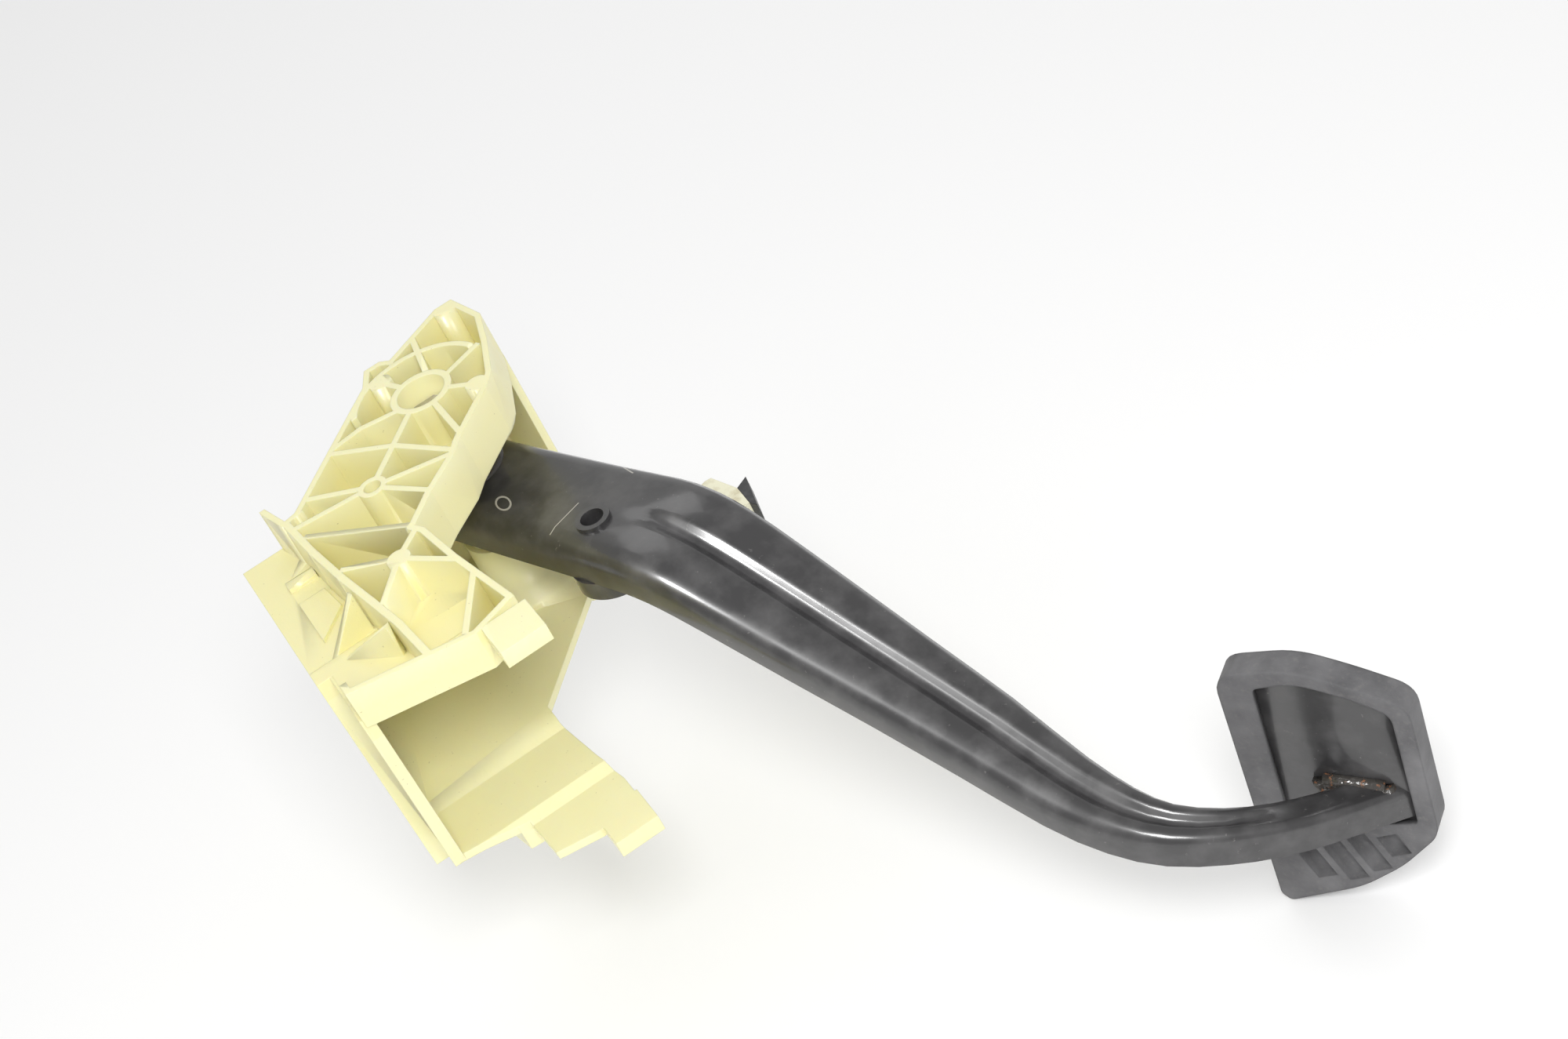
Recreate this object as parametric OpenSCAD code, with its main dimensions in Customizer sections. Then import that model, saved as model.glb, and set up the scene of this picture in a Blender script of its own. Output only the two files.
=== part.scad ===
// Brake pedal in a moulded pedal bracket: a stamped steel arm swings on a cross bolt between two
// ribbed cheeks. +X leaves the bulkhead, +Y is up in the car, +Z runs along the pivot to the outer side.

/* [Base] */
// Height of the mounting base, up the bulkhead
base_h = 80; // [70:1:95]
// Thickness of the mounting base
base_t = 5.5; // [4:0.5:8]
// Bolt spacing up the bulkhead
bolt_gap_y = 60; // [50:1:62]
// Bolt spacing across the bracket
bolt_gap_z = 40; // [34:1:40]
// Bore radius of the steel sleeves that the studs pass
stud_hole_r = 4.25; // [3.5:0.25:5]
// Wall of the steel sleeves
sleeve_wall = 1.75; // [1.5:0.25:2.5]
// Radius of the pushrod opening through the base
rod_hole_r = 17; // [12:1:18]

/* [Bracket] */
// Half of the clear width between the cheeks
half_gap = 31.5; // [30:0.5:36]
// Thickness of the cheek webs, the back wall and the top wall
wall = 3; // [2.5:0.25:4]
// Depth of the ribs on the outer cheek
rib_depth = 16; // [10:0.5:20]
// Depth of the ribs on the inner cheek
inner_rib_depth = 11; // [8:0.5:14]
// Thickness of a rib
rib_t = 2.2; // [1.6:0.1:3]
// First outward step of the cheeks
step_one = 2.5; // [2:0.5:6]
// Second outward step of the cheeks
step_two = 2.5; // [2:0.5:5]
// Height of each sloped step
step_run = 4; // [2:0.5:6]
// Thickness of the lead-in pads round the pivot
pivot_pad_t = 2.5; // [1.5:0.25:4]

/* [Pivot] */
// Distance of the pivot from the bulkhead
pivot_x = 80; // [78:0.5:82]
// Height of the pivot above the base centre
pivot_y = 49; // [47:0.5:50]
// Radius of the pivot bolt's shank
bolt_r = 5; // [4:0.25:5.5]
// Wall of the steel spacer tube on the bolt
spacer_wall = 2; // [1.5:0.25:2.5]
// Wall of the plastic bushes
bush_wall = 2; // [1.5:0.25:2.5]
// Wall of the hub tube that is welded into the arm
hub_wall = 2.5; // [2:0.25:3]
// Length of the barrel of each bush
bush_len = 14; // [10:1:18]
// Radial running clearance of the bushes on the spacer
run_gap = 0.06; // [0.02:0.01:0.1]
// Level of the moulded boss on the inner cheek, from the middle of the bracket
boss_face_z = -10.3; // [-14:0.1:-8]

/* [Arm] */
// Distance from the pivot to the pad
arm_len = 301; // [280:1:310]
// Sideways set of the arm from its head to its tip
arm_set = 98; // [85:1:105]
// Distance of the pushrod pin from the bulkhead
rod_x = 100; // [98:0.5:102]
// Height of the pushrod pin, below the base centre
rod_y = -18; // [-20:0.5:-16]
// Radius of the boss round the pushrod pin
rod_boss_r = 14.5; // [12:0.5:15]
// Level of the arm's outer face, from the middle of the bracket
arm_face_z = 16.5; // [14:0.5:18]
// Depth of the stamped channel
arm_depth = 14; // [11:0.5:16]
// Sheet thickness of the arm
arm_t = 2.5; // [2:0.25:3]
// Outer bend radius of the channel's corners
arm_corner_r = 7; // [5:0.5:8]
// Half width of the arm at the pivot
arm_half_w = 19.5; // [17:0.5:20]
// Depth of the stiffening bead
bead_depth = 3; // [1:0.5:4]
// Bore radius of the pushrod bush
rod_bush_r = 4; // [3:0.25:4.5]
// Wall of the pushrod bush
rod_bush_wall = 2; // [1.5:0.25:2.5]

/* [Pad] */
// Angle of the pad's normal above +X
pad_tilt = 38; // [34:1:42]
// Thickness of the steel pad plate
plate_t = 2.5; // [2:0.25:3.5]
// Thickness of the rubber in front of the plate
rubber_t = 4.5; // [4:0.5:8]
// How far the rubber's lip covers the plate's edge
lip_w = 2.5; // [1.5:0.25:3]
// Depth of the tread grooves
tread_depth = 1.8; // [1:0.1:3]

/* [Hidden] */
$fn = 64;
eps = 0.01;
seat_gap = 0.3;
press_gap = 0.05;

nylon = [0.91, 0.89, 0.66];
steel = [0.75, 0.76, 0.78];
black = [0.13, 0.13, 0.14];
dark_rubber = [0.2, 0.2, 0.21];

outer_web_z = half_gap + wall;
rib_top = outer_web_z + rib_depth;
inner_rib_top = half_gap + wall + inner_rib_depth;
pad_face_z = half_gap - pivot_pad_t;
lobe_z = half_gap + step_one + step_two;

// Outline of the outer cheek, from the base round the tower to the lower lobe
outer_outline = [[0, -base_h / 2], [0, base_h / 2], [17, base_h / 2], [20, 27], [24, 28], [66, 71],
    [70, 80], [76, 80], [79, 77], [102, 89.5], [108.5, 89.5], [112.5, 71], [108, 54], [102, 36],
    [97, 29], [80, 12.5], [74.5, 5.5], [62, -5], [51.5, -16], [53.5, -20], [56, -42], [61.5, -76],
    [46, -82], [base_t, -71.5], [base_t, -base_h / 2]];
// The inner cheek follows it, with a skirt that steps down towards its tab
inner_outline = [[0, -base_h / 2], [0, base_h / 2], [17, base_h / 2], [20, 27], [24, 28], [66, 71],
    [70, 80], [76, 80], [79, 77], [102, 89.5], [108.5, 89.5], [112.5, 71], [108, 54], [103, 36],
    [91, 17], [57, -22], [57, -31], [60, -54], [62.5, -67.5], [62.5, -79], [47, -82], [32, -79],
    [31, -60.5], [base_t, -56.5], [base_t, -base_h / 2]];
// Its ribs stand a little inside it
inner_field = [[15, base_h / 2], [17, base_h / 2], [20, 27], [24, 28], [66, 71], [70, 80], [76, 80],
    [79, 77], [102, 89.5], [107, 84], [104, 60], [94, 38], [80, 18], [48, -18], [49, -50], [47, -62],
    [27, -60], [25.3, -50], [18, 3]];
// Middle line of the wall that closes the channel behind the arm and over its top
back_line = [[7, 38.5], [18.5, 38.5], [22, 28.5], [24, 29.5], [66, 72], [79, 78.5],
    [103, 88], [110.5, 71]];
// Middle line of the fin between the base block and the ribbed field
fin_line = [[17.5, 38], [19.8, 26], [21.6, 3], [24.2, -18], [27.2, -37], [30, -55.5], [31.5, -76]];

// Cross points of the rib field
boss_low = [41.5, -26.5];
boss_ring = [48.5, 16];
boss_left = [71.8, 67.8];
boss_right = [95.5, 34.5];
boss_top = [104.3, 85.3];
skirt_drop = 71;
skirt_rise = 14;
ring_r = 11;
ring_wall = 2.5;
arc_rib_r = 24;
ribs = [[[86, 60], [90, 84]], [[91, 50], [104, 55]], [boss_left, [76, 58]], [[88, 42], boss_right],
    [[81, 38], [81, 13]], [[72, 41], boss_ring], [[43, 48], [57, 50]], [[57, 50], [69, 47]],
    [[45, 46], [62, 30]], [[62, 30], [76, 8]], [[75, 7], boss_ring], [[27, 33], boss_ring],
    [[21, 20], boss_ring], [[62, -4], boss_ring], [[23, 12], [52, -16]], [[51, -18], boss_low],
    [boss_low, [58, -48]], [[58, -52], [44, -78]], [[26, -15], boss_low], [boss_low, [30, -42]]];

module prism(points, low, high) {
    translate([0, 0, low]) linear_extrude(high - low) polygon(points);
}

// A straight strip of wall between two points of the plan
module strip(a, b, t) {
    run = norm(b - a);
    turn = atan2(b[1] - a[1], b[0] - a[0]);
    translate(a) rotate(turn) translate([-t / 2, -t / 2]) square([run + t, t]);
}

module strips(line, t) {
    for (i = [0:len(line) - 2]) strip(line[i], line[i + 1], t);
}

// The channel between the cheeks in section: flat beside the base, then two sloped steps outward
y_one = -29;
y_two = -58;
function side(grow, low_y) = [[100, half_gap + grow], [y_one, half_gap + grow],
    [y_one - step_run, half_gap + step_one + grow], [y_two, half_gap + step_one + grow],
    [y_two - step_run, lobe_z + grow], [low_y, lobe_z + grow]];
module channel_shape(grow, low_y, x_from, x_to) {
    near = side(grow, low_y);
    far = [for (i = [len(near) - 1:-1:0]) [near[i][0], -near[i][1]]];
    rotate([90, 0, 90]) translate([0, 0, x_from]) linear_extrude(x_to - x_from) polygon(concat(near, far));
}

// The field to the right of the fin, where the border and the ribs stand
outer_field = concat([for (i = [2:len(outer_outline) - 2]) outer_outline[i]],
    [[base_t, -66], [27, -66], [25.3, -50], [18, 3], [15, base_h / 2]]);

// Plan of the border, the ribs and the fin of one cheek
module rib_plan(area, edge) intersection() {
    polygon(area);
    union() {
        strips(concat(edge, [edge[0]]), 2 * rib_t);
        for (r = ribs) strip(r[0], r[1], rib_t);
        strips(fin_line, rib_t + 0.3);
    }
}

// Border, ribs, fin, bosses, arc rib and pivot ring on the outside of one cheek
module rib_field(area, edge, top) {
    low = half_gap - 1;
    translate([0, 0, low]) linear_extrude(top - low) rib_plan(area, edge);
    for (b = [boss_low, boss_left, boss_right, boss_top]) translate([b[0], b[1], low]) cylinder(r = 4, h = top - low);
    translate([boss_ring[0], boss_ring[1], low]) cylinder(r = 5, h = top - low);
    translate([pivot_x, pivot_y, low]) cylinder(r = ring_r, h = top - low);
    arc_rib(low, top);
}

module arc_rib(low, high) difference() {
    translate([pivot_x, pivot_y, low]) cylinder(r = arc_rib_r + rib_t / 2, h = high - low);
    translate([pivot_x, pivot_y, low - 1]) cylinder(r = arc_rib_r - rib_t / 2, h = high - low + 2);
    translate([pivot_x - 60, pivot_y - 60, low - 1]) cube([120, 68, high - low + 2]);
}

// One whole cheek, drawn for the outer side
module cheek(outline, area, edge, top) {
    difference() {
        union() {
            intersection() {
                prism(outline, 1, top);
                channel_shape(wall, -110, -1, 130);
            }
            rib_field(area, edge, top);
        }
        channel_shape(0, -111, -2, 131);
    }
    intersection() {
        prism(outline, pad_face_z, half_gap + 1);
        translate([pivot_x, pivot_y, pad_face_z - 1]) cylinder(r = arc_rib_r, h = pivot_pad_t + 2.5);
    }
}

// Cross bore of one cheek: bolt hole and the open counterbore behind the ring
module cheek_bore(top) {
    translate([pivot_x, pivot_y, outer_web_z]) cylinder(r = ring_r - ring_wall, h = top);
    translate([boss_ring[0], boss_ring[1], outer_web_z + 4]) cylinder(r = 3, h = top);
}

// Triangular gusset from the fin down to the face of the base block
module gusset(head, foot) {
    run = norm(foot - head);
    turn = atan2(foot[1] - head[1], foot[0] - head[0]);
    translate([head[0], head[1], outer_web_z]) rotate([90, 0, turn]) translate([0, 0, -rib_t / 2])
        linear_extrude(rib_t) polygon([[0, -1], [run, -1], [run, 0], [0, rib_depth - 1]]);
}

// Catch tab at the lower corner of a cheek
tab_t = 6;
module catch_tab(y_low, low) {
    translate([48, y_low, low]) cube([15.3, 16, tab_t]);
}

// Back wall behind the base and the skirt below it, as wide as the stepped cheeks
module back_skirt() intersection() {
    channel_shape(wall - 0.2, -skirt_drop - 1, base_t - 1, base_t + wall);
    rotate([90, 0, 90]) linear_extrude(20) polygon([[base_h / 2 - 0.5, -60], [base_h / 2 - 0.5, 60],
        [-skirt_drop, 60], [-skirt_drop, lobe_z], [skirt_rise - skirt_drop, -lobe_z],
        [skirt_rise - skirt_drop, -60]]);
}

module base_holes() {
    for (y = [-1, 1], z = [-1, 1])
        translate([-1, y * bolt_gap_y / 2, z * bolt_gap_z / 2]) rotate([0, 90, 0])
            cylinder(r = stud_hole_r + sleeve_wall + press_gap, h = base_t + wall + 2);
    translate([-1, 0, 0]) rotate([0, 90, 0]) cylinder(r = rod_hole_r, h = base_t + wall + 2);
}

module bracket() color(nylon) {
    difference() {
        union() {
            cheek(outer_outline, outer_field, outer_outline, rib_top);
            mirror([0, 0, 1]) cheek(inner_outline, inner_field, inner_field, inner_rib_top);
            translate([pivot_x, pivot_y, -half_gap - 1]) cylinder(r = hub_r + 1.8, h = half_gap + 1 + boss_face_z);
            translate([0, -base_h / 2, -inner_rib_top]) cube([base_t, base_h, inner_rib_top + outer_web_z]);
            back_skirt();
            translate([0, 0, -half_gap - 1]) linear_extrude(2 * half_gap + 2) strips(back_line, wall);
            gusset([23.5, -26.5], [7.5, -32]);
            gusset([27, -51.5], [9.5, -33.5]);
            translate([9.2, 14, outer_web_z - 1]) cube([10, 4.5, 2.8]);
            prism([[9.2, 5], [18.7, 5], [20, -8], [9.2, -19.5]], outer_web_z - 1, outer_web_z + 1.2);
            catch_tab(-96.5, rib_top - tab_t - 0.2);
            catch_tab(-91.5, -lobe_z - tab_t);
            translate([48, -82, -lobe_z - wall]) cube([14, 8, wall]);
        }
        translate([pivot_x, pivot_y, -60]) cylinder(r = bolt_r + 0.1, h = 120);
        cheek_bore(rib_top);
        mirror([0, 0, 1]) cheek_bore(inner_rib_top);
        base_holes();
    }
}

module tube(outer, inner, low, high) {
    translate([0, 0, low]) difference() {
        cylinder(r = outer, h = high - low);
        translate([0, 0, -1]) cylinder(r = inner, h = high - low + 2);
    }
}

module at_pivot() translate([pivot_x, pivot_y, 0]) children();

// Steel sleeves that keep the studs from crushing the moulding
module base_sleeves() color(steel)
    for (y = [-1, 1], z = [-1, 1])
        translate([0, y * bolt_gap_y / 2, z * bolt_gap_z / 2]) rotate([0, 90, 0])
            tube(stud_hole_r + sleeve_wall, stud_hole_r, 0, base_t + wall);

washer_t = 2;
head_h = 6.4;
head_r = 7.5;
nut_h = 7;
spacer_r = bolt_r + 0.15 + spacer_wall;
hub_bore = spacer_r + run_gap + bush_wall;
hub_r = hub_bore + hub_wall;
flange_t = 2;
hub_high = pad_face_z - seat_gap - flange_t;
hub_low = boss_face_z + seat_gap + flange_t;

module pivot_bolt() color(steel) at_pivot() {
    translate([0, 0, outer_web_z + washer_t]) cylinder(r = head_r, h = head_h, $fn = 6);
    translate([0, 0, -inner_rib_top + 2]) cylinder(r = bolt_r, h = inner_rib_top + outer_web_z + washer_t);
}

module pivot_washer() color(steel) at_pivot()
    tube(ring_r - ring_wall - 0.4, bolt_r + 0.1, outer_web_z, outer_web_z + washer_t);

module pivot_nut() color(steel) at_pivot() difference() {
    translate([0, 0, -outer_web_z - nut_h]) cylinder(r = head_r + 0.5, h = nut_h, $fn = 6);
    translate([0, 0, -outer_web_z - nut_h - 1]) cylinder(r = bolt_r + 0.02, h = nut_h + 2);
}

module pivot_spacer() color(steel) at_pivot()
    tube(spacer_r, bolt_r + 0.15, boss_face_z, pad_face_z);

// Flanged bush that runs on the spacer: its flange sits on the end of the hub tube
module bush() {
    tube(hub_bore - press_gap, spacer_r + run_gap, -bush_len, 0.5);
    tube(hub_r, spacer_r + run_gap, 0, flange_t);
}

module outer_bush() color(nylon) at_pivot() translate([0, 0, hub_high]) bush();
module inner_bush() color(nylon) at_pivot() translate([0, 0, hub_low]) mirror([0, 0, 1]) bush();

module hub_tube() color(black) at_pivot() tube(hub_r, hub_bore, hub_low, hub_high);

// Section rings swept into one closed skin; each end is closed between its outer and inner line
function ring_faces(n, m) = concat(
    [for (j = [0:m / 2 - 2]) [m - 1 - j, m - 2 - j, j + 1, j]],
    [for (i = [0:n - 2], j = [0:m - 1])
        [i * m + j, i * m + (j + 1) % m, (i + 1) * m + (j + 1) % m, (i + 1) * m + j]],
    [for (j = [0:m / 2 - 2]) (n - 1) * m * [1, 1, 1, 1] + [j, j + 1, m - 2 - j, m - 1 - j]]);

function unit(v) = v / norm(v);
function ahead(path, i) = unit(path[min(i + 1, len(path) - 1)] - path[max(i - 1, 0)]);

// Arm: stations along its middle, each [x and y from the pivot, drop of the face, half width, bead].
// The first six lie in the flat head; the others stretch with the arm's length and sideways set.
reach_k = arm_len / 301;
head_stations = [
    [-5.8, 15.5, 0, arm_half_w * 0.5, 0],
    [-4.2, 11.5, 0, arm_half_w * 0.8, 0],
    [-1.5, 4, 0, arm_half_w * 0.97, 0],
    [2.5, -7, 0, arm_half_w, 0],
    [22, -53.5, 0, arm_half_w + 0.8, 0],
    [32, -77, 0, arm_half_w + 1.5, 0]];
blade_stations = [
    [36.5, -88, 0.01, arm_half_w + 1.5, 0.8],
    [41, -99, 0.041, arm_half_w + 1.3, 1],
    [46.6, -112.6, 0.112, arm_half_w + 0.6, 1],
    [57.2, -139.3, 0.265, arm_half_w - 1.5, 1],
    [67.3, -165.4, 0.408, arm_half_w - 3.7, 1],
    [76.5, -190.2, 0.541, arm_half_w - 5.5, 1],
    [85, -215, 0.673, arm_half_w - 8, 1],
    [92.5, -230, 0.75, arm_half_w - 10, 0.95],
    [101.3, -240, 0.806, arm_half_w - 11.5, 0.9],
    [114, -247.5, 0.862, arm_half_w - 12.6, 0.8],
    [127, -252, 0.913, arm_half_w - 13, 0],
    [140, -255, 0.954, arm_half_w - 13.2, 0],
    [156, -257.4, 1, arm_half_w - 13.4, 0]];
arm_stations = concat(
    [for (s = head_stations) [pivot_x + s[0], pivot_y + s[1], arm_face_z, s[3], s[4]]],
    [for (s = blade_stations)
        [pivot_x + s[0] * reach_k, pivot_y + s[1] * reach_k, arm_face_z - s[2] * arm_set, s[3], s[4]]]);
arm_tip = arm_stations[len(arm_stations) - 1];

// Smooth curve through the stations
steps = 2;
function blend(a, b, c, d, t) = 0.5 * ((2 * b) + (c - a) * t + (2 * a - 5 * b + 4 * c - d) * t * t
    + (3 * b - a - 3 * c + d) * t * t * t);
last = len(arm_stations) - 1;
arm_rows = concat(
    [for (i = [0:last - 1], k = [0:steps - 1])
        blend(arm_stations[max(i - 1, 0)], arm_stations[i], arm_stations[i + 1],
            arm_stations[min(i + 2, last)], k / steps)],
    [arm_stations[last]]);
arm_path = [for (r = arm_rows) [r[0], r[1], r[2]]];

// Depth of the channel tapers a little below the head
function depth_at(i) = arm_depth * (1 - 0.25 * max(0, i - 14) / (len(arm_path) - 14));
function groove_at(w) = min(bead_half_w, w * 0.45);
function corner_at(i) = let (w = arm_rows[i][3])
    min(arm_corner_r, w - max(arm_t, groove_at(w)) - 0.4, depth_at(i) - 3);

// Half of the channel's section, from its middle out: [across, down]
corner_steps = 3;
bead_half_w = 4.8;
bead_steps = [30, 75, 115, 150, 180];
function half_section(w, r, bead, inset) = concat(
    [for (a = bead_steps) [groove_at(w) * a / 180, -bead_depth * bead * (1 + cos(a)) / 2 - inset]],
    [for (k = [0:corner_steps]) let (a = 90 * k / corner_steps)
        [w - r + (r - inset) * sin(a), -r + (r - inset) * cos(a)]]);
function flip(points) = [for (k = [len(points) - 1:-1:0]) [-points[k][0], points[k][1]]];
function channel_section(i) =
    let (w = arm_rows[i][3], r = corner_at(i), b = max(arm_rows[i][4], 0), d = depth_at(i),
        out = half_section(w, r, b, 0), in = half_section(w, r, b, arm_t))
    concat([[-w, -d]], flip(out), out, [[w, -d]],
        [[w - arm_t, -d]], [for (k = [len(in) - 1:-1:0]) in[k]], [for (p = in) [-p[0], p[1]]],
        [[-w + arm_t, -d]]);
function plate_section(i) =
    let (w = arm_rows[i][3] - arm_t - 0.15, d = depth_at(i) - 0.8)
    [[-w, -d], [-w, -d + arm_t], [w, -d + arm_t], [w, -d]];
// The last ring slides along the arm onto the back of the pad plate
pad_normal = [cos(pad_tilt), sin(pad_tilt), 0];
pad_slope = [sin(pad_tilt), -cos(pad_tilt), 0];
tip_place = [arm_tip[0], arm_tip[1], 0];
pad_reach = pad_normal * tip_place + 1.1;
pad_slide = pad_slope * tip_place - 5.8;
function slide(i, p, t) = i < len(arm_path) - 1 ? p : p + t * (pad_reach - pad_normal * p) / (pad_normal * t);
function place(i, section) = let (t = ahead(arm_path, i), u = unit(cross([0, 0, 1], t)), w = cross(t, u))
    [for (p = section) slide(i, arm_path[i] + p[0] * u + p[1] * w, t)];

module sweep_channel() polyhedron([for (i = [0:len(arm_path) - 1]) each place(i, channel_section(i))],
    ring_faces(len(arm_path), len(channel_section(0))));
module sweep_plate() polyhedron([for (i = [0:len(arm_path) - 1]) each place(i, plate_section(i))],
    ring_faces(len(arm_path), len(plate_section(0))));

// Frame of the pad: x down its slope, y towards the inner side, z towards the driver's foot
module pad_frame() rotate([0, 0, pad_tilt - 90]) rotate([-90, 0, 0])
    translate([pad_slide, arm_set - 98, pad_reach]) children();

module arm_cuts() {
    at_pivot() translate([0, 0, -40]) cylinder(r = hub_r + 0.02, h = 80);
    translate([rod_x, rod_y, -40]) cylinder(r = rod_bush_r + rod_bush_wall + 0.02, h = 80);
}

module arm_channel() color(black) difference() {
    sweep_channel();
    arm_cuts();
}

module arm_back_plate() color(black) difference() {
    sweep_plate();
    arm_cuts();
}

// Bush of the pushrod pin, flush with the arm's back and standing a little proud of its face
arm_back_z = arm_face_z - arm_depth;
rod_boss_t = 7;
module pushrod_bush() color(black) translate([rod_x, rod_y, 0])
    tube(rod_bush_r + rod_bush_wall, rod_bush_r, arm_back_z - 3, arm_face_z + 1.5);

// Round boss that thickens the arm's back round the pushrod pin
module pushrod_boss() color(black) translate([rod_x, rod_y, 0])
    tube(rod_boss_r, rod_bush_r + rod_bush_wall + 0.02, arm_back_z - rod_boss_t, arm_back_z);

// Every corner of an outline, given as [x, y, r], is replaced by a short curve
function rounded(points) = [for (i = [0:len(points) - 1])
    let (n = len(points), p = [points[i][0], points[i][1]], q = points[(i + n - 1) % n],
        s = points[(i + 1) % n], a = [q[0], q[1]], b = [s[0], s[1]], r = points[i][2],
        from = p + r * (a - p) / norm(a - p), to = p + r * (b - p) / norm(b - p))
    for (k = [0:0.2:1]) (1 - k) * (1 - k) * from + 2 * k * (1 - k) * p + k * k * to];
function grown(points, by) = [for (p = points) p + by * (p - pad_middle) / norm(p - pad_middle)];

pad_middle = [-3, 76];
pad_outline = rounded([[-31, 36, 7], [-7.4, 33, 7], [7.6, 38.8, 6], [24.5, 47, 6], [21, 101.3, 5],
    [6.5, 116.5, 5], [-8.7, 127.5, 6], [-34, 136.5, 1.5], [-36.5, 133.5, 1.5]]);
window = rounded([[-20.5, 41, 2], [-7.6, 38, 6], [6, 43, 5], [18.6, 50, 4], [15.6, 97, 2],
    [-24.6, 99, 2]]);
groove_w = 2.4;
groove_step = 8;
lip_t = 2;

module pad_plate() color(black) pad_frame() prism(grown(window, lip_w), 0, plate_t);

// Rubber cap: it wraps the plate's edge, shows a lip behind it and carries the tread in front
module pad_rubber() color(dark_rubber) pad_frame() difference() {
    prism(pad_outline, -lip_t, plate_t + rubber_t);
    prism(grown(window, lip_w + 0.1), -press_gap, plate_t + press_gap);
    prism(window, -lip_t - 1, 1);
    for (x = [-2:1]) translate([x * groove_step + 2.5, 50, plate_t + rubber_t - tread_depth])
        cube([groove_w, 50, tread_depth + 1]);
    // hollows between the slanting ribs behind the long end
    for (k = [0:3]) translate([-29 + 10 * k, 104, -lip_t - 1]) rotate([0, 0, -18])
        cube([7, k < 2 ? 22 : k < 3 ? 17 : 9, lip_t + 2]);
}

// Bead of weld
module bead(from, to, r) {
    run = norm(to - from);
    turn = atan2(to[1] - from[1], to[0] - from[0]);
    translate(from) rotate([0, 90, turn]) translate([0, 0, -r / 2]) cylinder(r = r, h = run + r, $fn = 10);
}

module pad_weld() color(black) pad_frame() difference() {
    union() {
        bead([-10, 81, -1], [-8.5, 91, -1], 2.6);
        bead([9.5, 83, -1], [11, 92, -1], 2.5);
        bead([-8, 80, -1], [8, 82, -1], 2.2);
    }
    translate([-30, 60, 0]) cube([60, 50, 10]);
}

module hub_weld() color(black) at_pivot() translate([0, 0, arm_face_z - 0.6])
    rotate_extrude() translate([hub_r + 0.4, 0]) circle(r = 1.9, $fn = 20);

// Clip of the lamp switch under the arm's upper edge, with its contact wedge
clip_along = 20;
clip_t = 7;
clip_drop = 2;
clip_top = arm_back_z - clip_drop;
module clip_frame() translate([pivot_x + 54, pivot_y - 65, clip_top - clip_t]) rotate([0, 0, clip_along])
    children();
module switch_clip() color(nylon) clip_frame() {
    linear_extrude(clip_t) polygon([[-14, -6], [3, -20.7], [7.2, -11.2], [8, 2], [6, 3], [-14, 3]]);
    // stud that carries the clip on the back plate
    translate([-11, -1.5, clip_t - 1]) cylinder(r = 2.2, h = clip_drop + 1.78);
}
module switch_tip() color(dark_rubber) clip_frame()
    linear_extrude(clip_t) polygon([[3, -20.7], [3.2, -24.2], [12.5, -10.3], [7.2, -11.2]]);

bracket();
base_sleeves();
pivot_bolt();
pivot_washer();
pivot_nut();
pivot_spacer();
outer_bush();
inner_bush();
hub_tube();
arm_channel();
arm_back_plate();
pushrod_bush();
pushrod_boss();
pad_plate();
pad_rubber();
pad_weld();
hub_weld();
switch_clip();
switch_tip();
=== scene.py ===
import math

import bmesh
import bpy
from mathutils import Matrix, Vector


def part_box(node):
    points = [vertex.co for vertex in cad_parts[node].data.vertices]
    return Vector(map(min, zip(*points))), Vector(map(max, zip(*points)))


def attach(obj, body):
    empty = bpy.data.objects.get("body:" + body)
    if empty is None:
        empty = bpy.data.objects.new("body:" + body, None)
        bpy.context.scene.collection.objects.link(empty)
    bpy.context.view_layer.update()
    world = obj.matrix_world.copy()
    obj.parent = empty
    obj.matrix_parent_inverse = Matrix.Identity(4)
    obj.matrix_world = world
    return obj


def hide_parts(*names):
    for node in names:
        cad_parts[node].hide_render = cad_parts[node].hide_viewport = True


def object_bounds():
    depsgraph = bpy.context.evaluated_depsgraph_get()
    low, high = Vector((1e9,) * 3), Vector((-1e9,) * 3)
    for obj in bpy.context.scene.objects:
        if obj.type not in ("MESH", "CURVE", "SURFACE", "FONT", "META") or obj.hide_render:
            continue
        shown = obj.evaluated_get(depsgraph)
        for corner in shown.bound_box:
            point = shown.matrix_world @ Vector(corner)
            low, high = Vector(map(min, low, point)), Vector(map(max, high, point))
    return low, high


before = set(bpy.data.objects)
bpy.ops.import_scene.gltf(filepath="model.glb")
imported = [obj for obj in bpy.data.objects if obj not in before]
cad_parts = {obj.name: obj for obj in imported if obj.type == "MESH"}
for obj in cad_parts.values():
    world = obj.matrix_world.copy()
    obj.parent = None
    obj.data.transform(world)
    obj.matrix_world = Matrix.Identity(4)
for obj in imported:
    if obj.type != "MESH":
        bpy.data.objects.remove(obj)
cad_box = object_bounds()
mm = 0.001

# Bracket: one injection moulding in natural nylon that has yellowed a little. The thin ribs let some
# light through, and the pockets between them get a warmer, darker yellow of painted shade. Every edge
# is rounded by a small radius in the shading only.


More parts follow.
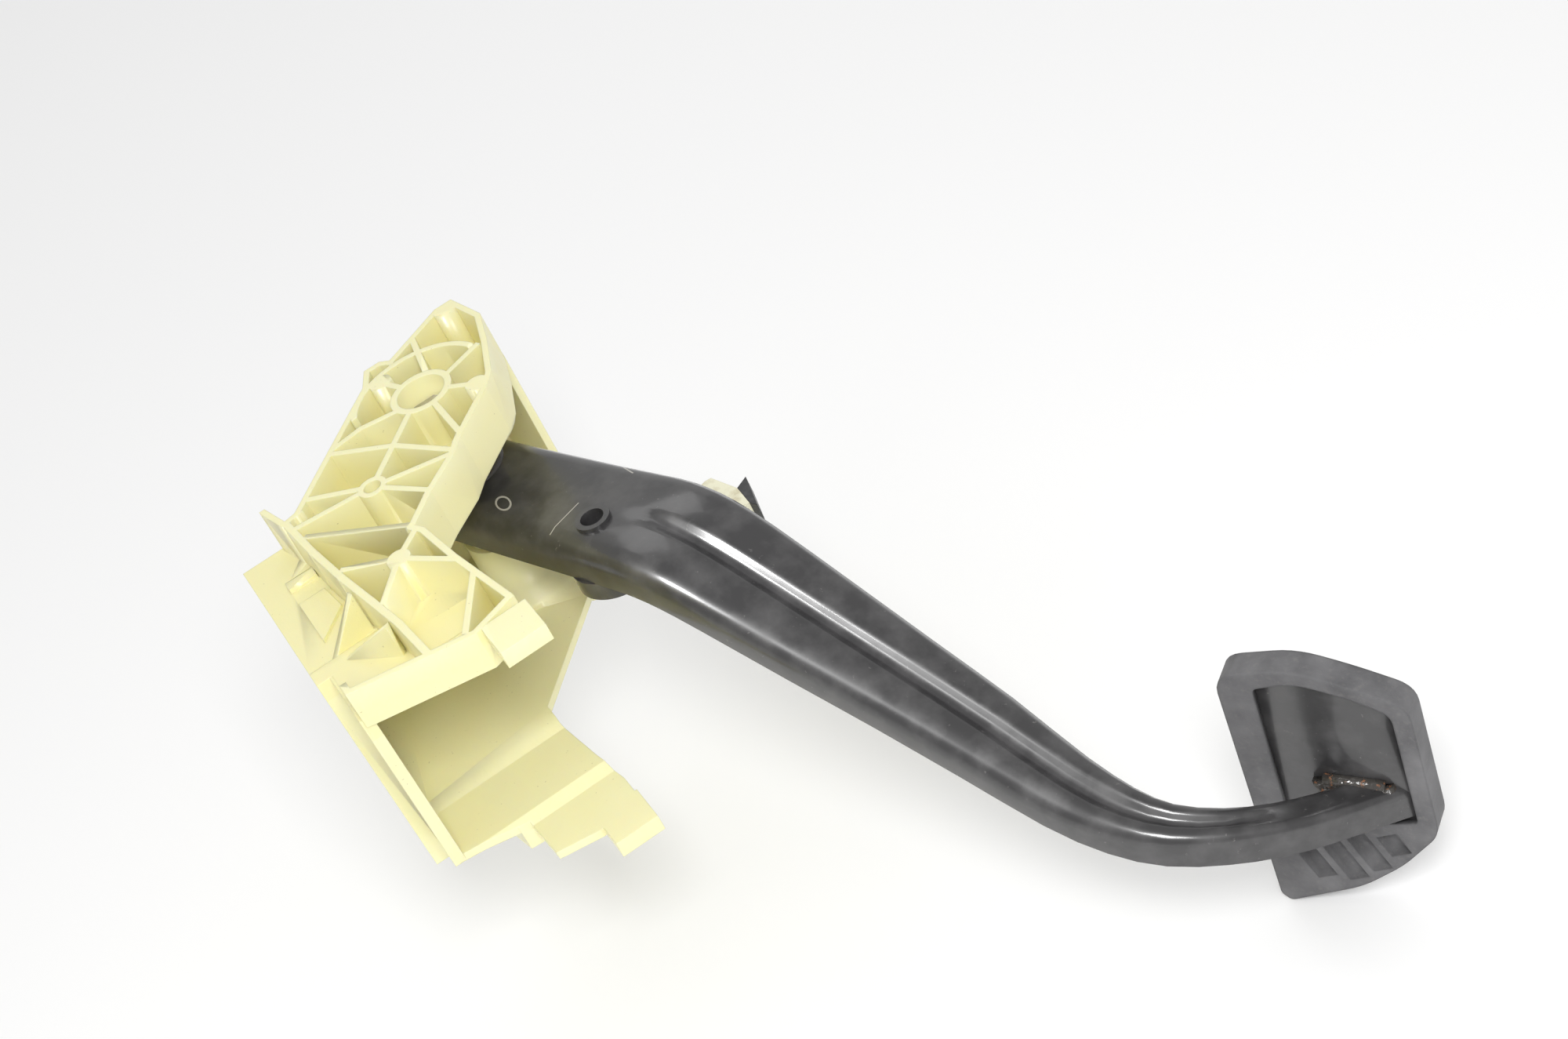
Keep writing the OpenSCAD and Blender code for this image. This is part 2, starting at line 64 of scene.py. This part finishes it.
class Value:
    """A shader socket that can be used in sums, products and comparisons."""

    def __init__(self, finish, socket):
        self.finish = finish
        self.socket = socket

    def _math(self, operation, first, second):
        return self.finish.node("ShaderNodeMath", {"operation": operation}, [first, second])

    def __add__(self, other):
        return self._math("ADD", self, other)

    def __radd__(self, other):
        return self._math("ADD", other, self)

    def __sub__(self, other):
        return self._math("SUBTRACT", self, other)

    def __rsub__(self, other):
        return self._math("SUBTRACT", other, self)

    def __mul__(self, other):
        return self._math("MULTIPLY", self, other)

    def __rmul__(self, other):
        return self._math("MULTIPLY", other, self)

    def __truediv__(self, other):
        return self._math("DIVIDE", self, other)

    def __pow__(self, other):
        return self._math("POWER", self, other)

    def __gt__(self, other):
        return self._math("GREATER_THAN", self, other)

    def __lt__(self, other):
        return self._math("LESS_THAN", self, other)


class Finish:
    """One surface finish: a material, its principled shader and the nodes that feed it."""

    def __init__(self, name, **constants):
        self.material = bpy.data.materials.new(name)
        self.material.use_nodes = True
        self.tree = self.material.node_tree
        self.shader = self.tree.nodes["Principled BSDF"]
        self.place = Value(self, self.tree.nodes.new("ShaderNodeTexCoord").outputs["Object"])
        for socket, value in constants.items():
            self.shader.inputs[socket.replace("_", " ")].default_value = value

    def node(self, kind, settings, values, output=0):
        """Adds a node, sets it up, links or fills its inputs and gives back one output."""
        made = self.tree.nodes.new(kind)
        for name, setting in settings.items():
            setattr(made, name, setting)
        pairs = values.items() if isinstance(values, dict) else enumerate(values)
        for key, value in pairs:
            if isinstance(value, Value):
                self.tree.links.new(value.socket, made.inputs[key])
            else:
                made.inputs[key].default_value = value
        return Value(self, made.outputs[output])

    def noise(self, per_metre, detail=3.0, roughness=0.55):
        """Noise from 0 to 1 with its middle at one half."""
        values = {"Vector": self.place, "Scale": per_metre, "Detail": detail, "Roughness": roughness}
        return self.node("ShaderNodeTexNoise", {}, values)

    def ramp(self, value, low, high):
        """0 below low, 1 above high, and a straight line between them."""
        values = {"Value": value, "From Min": low, "From Max": high}
        return self.node("ShaderNodeMapRange", {"clamp": True}, values)

    def axis(self, name):
        """One coordinate of the place on the surface."""
        return self.node("ShaderNodeSeparateXYZ", {}, [self.place], "XYZ".index(name))

    def blend(self, share, first, second):
        """A colour between two colours."""
        values = {0: share, 6: first, 7: second}
        return self.node("ShaderNodeMix", {"data_type": "RGBA"}, values, 2)

    def feed(self, **values):
        """Links values to the shader's own sockets."""
        for name, value in values.items():
            self.tree.links.new(value.socket, self.shader.inputs[name.replace("_", " ")])

    def relief(self, height, depth, edge=0.0):
        """Bumps of a depth in metres, on edges that are rounded over by a radius."""
        values = {"Height": height, "Distance": depth}
        if edge:
            values["Normal"] = self.node("ShaderNodeBevel", {"samples": 6}, {"Radius": edge})
        self.feed(Normal=self.node("ShaderNodeBump", {}, values))


def skin(name, finish, body, crease=35.0):
    """A welded copy of a CAD node that stands for it, with smooth shading up to the crease angle."""
    same_point = 2e-6
    shortest_edge = 1e-6
    shape = bmesh.new()
    shape.from_mesh(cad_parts[name].data)
    bmesh.ops.remove_doubles(shape, verts=shape.verts[:], dist=same_point)
    bmesh.ops.dissolve_degenerate(shape, edges=shape.edges[:], dist=shortest_edge)
    mesh = bpy.data.meshes.new(name + "_look")
    shape.to_mesh(mesh)
    shape.free()
    for face in mesh.polygons:
        face.use_smooth = True
    mesh.set_sharp_from_angle(angle=math.radians(crease))
    mesh.materials.append(finish.material)
    piece = bpy.data.objects.new(name + "_look", mesh)
    bpy.context.scene.collection.objects.link(piece)
    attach(piece, body)
    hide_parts(name)


nylon = Finish(
    "natural_nylon",
    Subsurface_Weight=0.25,
    Subsurface_Scale=4 * mm,
    Subsurface_Radius=(1.0, 0.75, 0.25),
    IOR=1.5,
)
nylon_fresh = (0.86, 0.83, 0.51, 1)
nylon_aged = (0.83, 0.77, 0.41, 1)
# A darker, warmer yellow that is painted into the pockets as shade.
nylon_painted_shade = (0.84, 0.79, 0.43, 1)
nylon_speck = (0.25, 0.2, 0.1, 1)
# Heights of the painted shade in the pockets: full below the first, gone at the second.
painted_shade_full = 42.5 * mm
painted_shade_starts = 49.5 * mm
outer_cheek_above = 30 * mm
height = nylon.axis("Z")
# Painted shade: on the outer cheek, above 30 mm, surfaces lower than the rib tops get the darker
# pocket yellow, blended in at up to 0.8.
painted_pocket_shade = (1 - nylon.ramp(height, painted_shade_full, painted_shade_starts)) * (height > outer_cheek_above)
cloud = nylon.ramp(nylon.noise(22, 4), 0.35, 0.7)
specks = nylon.ramp(nylon.noise(900, 1), 0.76, 0.8)
tone_and_painted_shade = nylon.blend(cloud * 0.45, nylon_fresh, nylon_aged)
tone_and_painted_shade = nylon.blend(painted_pocket_shade * 0.8, tone_and_painted_shade, nylon_painted_shade)
nylon.feed(
    Base_Color=nylon.blend(specks * 0.35, tone_and_painted_shade, nylon_speck),
    Roughness=nylon.noise(160, 3) * 0.2 + 0.25,
)
nylon.relief(nylon.noise(1400, 2) * 0.4 + nylon.noise(60, 2), 0.08 * mm, edge=0.5 * mm)
skin("bracket", nylon, "bracket", crease=14.0)

# Fasteners and tubes of the fixed side: four pressed steel sleeves in the base, the cross bolt with
# its washer and nut, and the spacer tube that the bolt clamps. All are zinc plated and slightly dull.
zinc = Finish("zinc_plate", Metallic=1.0)
zinc_bright = (0.62, 0.61, 0.58, 1)
zinc_dull = (0.36, 0.34, 0.31, 1)
dull = zinc.ramp(zinc.noise(130, 4), 0.3, 0.75)
zinc.feed(
    Base_Color=zinc.blend(dull, zinc_bright, zinc_dull),
    Roughness=dull * 0.25 + 0.24,
)
zinc.relief(zinc.noise(700, 3), 0.03 * mm, edge=0.4 * mm)
for fastener in ["base_sleeves", "pivot_bolt", "pivot_washer", "pivot_nut", "pivot_spacer"]:
    skin(fastener, zinc, "bracket")

# Bushes: two flanged plastic bushes in a pale grade, pressed into the ends of the hub tube. They run
# on the spacer tube, and patches of grease make them darker and shinier.
bush_plastic = Finish("bush_plastic", IOR=1.5)
bush_pale = (0.84, 0.82, 0.62, 1)
bush_greasy = (0.66, 0.61, 0.42, 1)
grease = bush_plastic.ramp(bush_plastic.noise(180, 3), 0.45, 0.65)
bush_plastic.feed(
    Base_Color=bush_plastic.blend(grease, bush_pale, bush_greasy),
    Roughness=0.5 - grease * 0.25,
)
bush_plastic.relief(bush_plastic.noise(500, 2), 0.04 * mm, edge=0.3 * mm)
for bush in ["outer_bush", "inner_bush"]:
    skin(bush, bush_plastic, "pedal")

# Pedal arm: a pressed steel channel with a bead down its middle and a back plate in its open side,
# with the hub tube and the pushrod's bush and boss at its head. All are dipped in black paint, which
# is glossy, cloudy with dust, worn in small spots and marked with a ring and two short strokes.
black_paint = Finish("black_dip_paint", Coat_Weight=0.6, Coat_Roughness=0.13, IOR=1.5)
paint_black = (0.034, 0.033, 0.034, 1)
paint_grey = (0.12, 0.117, 0.118, 1)
bare_steel = (0.42, 0.40, 0.38, 1)
pen_white = (0.55, 0.53, 0.47, 1)


def stroke(finish, start, end, width):
    """A thin straight mark between two points in the plan, in metres."""
    run = Vector(end) - Vector(start)
    side = (finish.axis("X") - start[0]) * (-run.y / run.length)
    side = side + (finish.axis("Y") - start[1]) * (run.x / run.length)
    on_line = finish.node("ShaderNodeMath", {"operation": "ABSOLUTE"}, [side]) < width / 2
    way = (finish.axis("X") - start[0]) * (run.x / run.length)
    way = way + (finish.axis("Y") - start[1]) * (run.y / run.length)
    return on_line * (way > 0.0) * (way < run.length)


def ring(finish, middle, half_size, inner, outer):
    """An oval line round a middle in the plan, from the inner to the outer share of its half size."""
    x = (finish.axis("X") - middle[0]) / half_size[0]
    y = (finish.axis("Y") - middle[1]) / half_size[1]
    run = (x * x + y * y) ** 0.5
    return (run > inner) * (run < outer)


bush_stands_out = 1.5 * mm
face_slopes_down = 4 * mm
face_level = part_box("pushrod_bush")[1].z - bush_stands_out
on_face = black_paint.axis("Z") > face_level - face_slopes_down
paint_ring = ring(black_paint, (81.8 * mm, 18.5 * mm), (2.2 * mm, 4.2 * mm), 0.86, 1.12)
face_stroke = stroke(black_paint, (86.6 * mm, -10.1 * mm), (100.3 * mm, -5.1 * mm), 0.35 * mm)
edge_stroke = stroke(black_paint, (119.1 * mm, -0.9 * mm), (119.9 * mm, -7.4 * mm), 0.5 * mm)
pen_marks = (paint_ring + face_stroke + edge_stroke) * on_face
pen_marks = black_paint.node("ShaderNodeMath", {"operation": "MINIMUM"}, [pen_marks, 1.0])
dust = black_paint.ramp(black_paint.noise(90, 5), 0.42, 0.75)
worn = black_paint.ramp(black_paint.noise(420, 4, 0.7), 0.66, 0.74)
painted = black_paint.blend(dust * 0.5, paint_black, paint_grey)
painted = black_paint.blend(worn * 0.25, painted, bare_steel)
painted = black_paint.blend(pen_marks * 0.75, painted, pen_white)
black_paint.feed(Base_Color=painted, Roughness=0.30 + dust * 0.16)
black_paint.relief(black_paint.noise(1100, 2) * 0.08 + black_paint.noise(45, 2), 0.06 * mm)
for pressing in ["arm_channel", "arm_back_plate", "hub_tube", "pushrod_bush", "pushrod_boss"]:
    skin(pressing, black_paint, "pedal")

# Pad plate: a flat steel plate with rounded corners, welded across the end of the arm and dipped in
# the same black paint.
skin("pad_plate", black_paint, "pedal")

# Rubber pad: a moulded cap with a grooved tread, whose lip wraps the edge of the pad plate. It is
# matt black rubber that has gone grey with dust and grime.
rubber = Finish("pad_rubber", IOR=1.45)
rubber_black = (0.09, 0.089, 0.093, 1)
rubber_dusty = (0.19, 0.188, 0.193, 1)
rubber_grimy = (0.21, 0.20, 0.19, 1)
chalk = rubber.ramp(rubber.noise(70, 5), 0.35, 0.8)
grime = rubber.ramp(rubber.noise(600, 3), 0.55, 0.8)
dusty = rubber.blend(chalk, rubber_black, rubber_dusty)
rubber.feed(
    Base_Color=rubber.blend(grime * 0.4, dusty, rubber_grimy),
    Roughness=chalk * 0.2 + 0.52,
)
rubber.relief(rubber.noise(1600, 2) * 0.5 + rubber.noise(240, 3), 0.12 * mm, edge=1.2 * mm)
skin("pad_rubber", rubber, "pedal", crease=30.0)

# Welds: two rippled steel beads, one that joins the arm to its hub tube and one that joins it to the
# pad plate. They are dark with paint, and rust comes through it in patches.
weld_steel = Finish("rusty_weld", IOR=1.5)
weld_dark = (0.06, 0.055, 0.05, 1)
weld_rust = (0.34, 0.13, 0.045, 1)
rust = weld_steel.ramp(weld_steel.noise(380, 4, 0.7), 0.58, 0.68)
weld_steel.feed(
    Base_Color=weld_steel.blend(rust, weld_dark, weld_rust),
    Roughness=rust * 0.45 + 0.2,
)
weld_steel.relief(weld_steel.noise(500, 2), 0.5 * mm)
for weld in ["pad_weld", "hub_weld"]:
    skin(weld, weld_steel, "pedal", crease=60.0)

# Lamp switch clip: a pale moulding in the bushes' plastic, on a stud behind the arm's upper edge. Its
# wedge is a separate piece in dark plastic.
skin("switch_clip", bush_plastic, "pedal", crease=20.0)
dark_plastic = Finish("dark_plastic", IOR=1.5)
wedge_black = (0.03, 0.03, 0.032, 1)
wedge_scuffed = (0.09, 0.09, 0.09, 1)
scuff = dark_plastic.ramp(dark_plastic.noise(300, 3), 0.5, 0.8)
dark_plastic.feed(
    Base_Color=dark_plastic.blend(scuff, wedge_black, wedge_scuffed),
    Roughness=scuff * 0.2 + 0.4,
)
dark_plastic.relief(dark_plastic.noise(900, 2), 0.05 * mm, edge=0.4 * mm)
skin("switch_tip", dark_plastic, "pedal")

# Floor and sky: a plain white floor that glows a little, just under the part, and a white sky. The
# sky is brighter to the camera and darker in reflections than the light it gives.
floor_level = cad_box[0][2] - 1 * mm
floor_half = 6.0
floor_shape = bmesh.new()
bmesh.ops.create_grid(floor_shape, x_segments=1, y_segments=1, size=floor_half)
bmesh.ops.translate(floor_shape, verts=floor_shape.verts, vec=(0, 0, floor_level))
floor_mesh = bpy.data.meshes.new("floor")
floor_shape.to_mesh(floor_mesh)
floor_shape.free()
floor = bpy.data.objects.new("floor", floor_mesh)
bpy.context.scene.collection.objects.link(floor)
floor_paint = Finish(
    "floor_paint",
    Roughness=0.9,
    Base_Color=(0.86, 0.86, 0.86, 1),
    Emission_Color=(1, 1, 1, 1),
    Emission_Strength=0.12,
)
floor_mesh.materials.append(floor_paint.material)

light_given = 0.72
light_mirrored = 0.55
light_shown = 0.97
world = bpy.data.worlds.new("studio")
bpy.context.scene.world = world
world.use_nodes = True
sky = world.node_tree
sky.nodes.clear()
rays = sky.nodes.new("ShaderNodeLightPath")


def white_sky(strength):
    """A plain white sky of one strength."""
    background = sky.nodes.new("ShaderNodeBackground")
    background.inputs["Color"].default_value = (1, 1, 1, 1)
    background.inputs["Strength"].default_value = strength
    return background.outputs[0]


def sky_for(rays_of_kind, others, chosen):
    """The chosen sky for one kind of ray, and the other sky for the rest."""
    switch = sky.nodes.new("ShaderNodeMixShader")
    sky.links.new(rays.outputs[rays_of_kind], switch.inputs[0])
    sky.links.new(others, switch.inputs[1])
    sky.links.new(chosen, switch.inputs[2])
    return switch.outputs[0]


mixed_sky = sky_for("Is Glossy Ray", white_sky(light_given), white_sky(light_mirrored))
mixed_sky = sky_for("Is Camera Ray", mixed_sky, white_sky(light_shown))
sky.links.new(mixed_sky, sky.nodes.new("ShaderNodeOutputWorld").inputs["Surface"])

# Lamps and camera: three square lamps that look at the middle of the part, and a camera at the
# viewpoint fitted to the photograph. The window lamp gives the bright streak along the arm's bead.
part_middle = Vector((120, -60, -20)) * mm


def lamp(name, place, size, watts):
    """A square soft lamp that looks at the middle of the part."""
    light = bpy.data.lights.new(name, "AREA")
    light.size = size
    light.energy = watts
    holder = bpy.data.objects.new(name, light)
    bpy.context.scene.collection.objects.link(holder)
    turn = (Vector(place) - part_middle).to_track_quat("Z", "Y").to_matrix().to_4x4()
    holder.matrix_world = Matrix.Translation(place) @ turn
    return holder


lamp("key_lamp", (0.35, 0.75, 1.0), 0.5, 1.2)
lamp("flash_lamp", (0.04, -0.70, 0.62), 0.22, 4.6)
window_lamp = lamp("window_lamp", (-0.44, -0.23, 0.66), 0.18, 9.0)
window_lamp.visible_diffuse = False

eye = Vector((4.95, -743.43, 519.28)) * mm
eye_right = Vector((0.81972, -0.44234, -0.36387))
eye_up = Vector((0.54907, 0.42600, 0.71906))
eye_back = eye_right.cross(eye_up)
camera_data = bpy.data.cameras.new("camera")
camera_data.lens = 64.5
camera_data.sensor_width = 36.0
camera = bpy.data.objects.new("camera", camera_data)
bpy.context.scene.collection.objects.link(camera)
facing = Matrix((eye_right, eye_up, eye_back)).transposed().to_4x4()
camera.matrix_world = Matrix.Translation(eye) @ facing
bpy.context.scene.camera = camera
bpy.context.scene.view_settings.view_transform = "Standard"
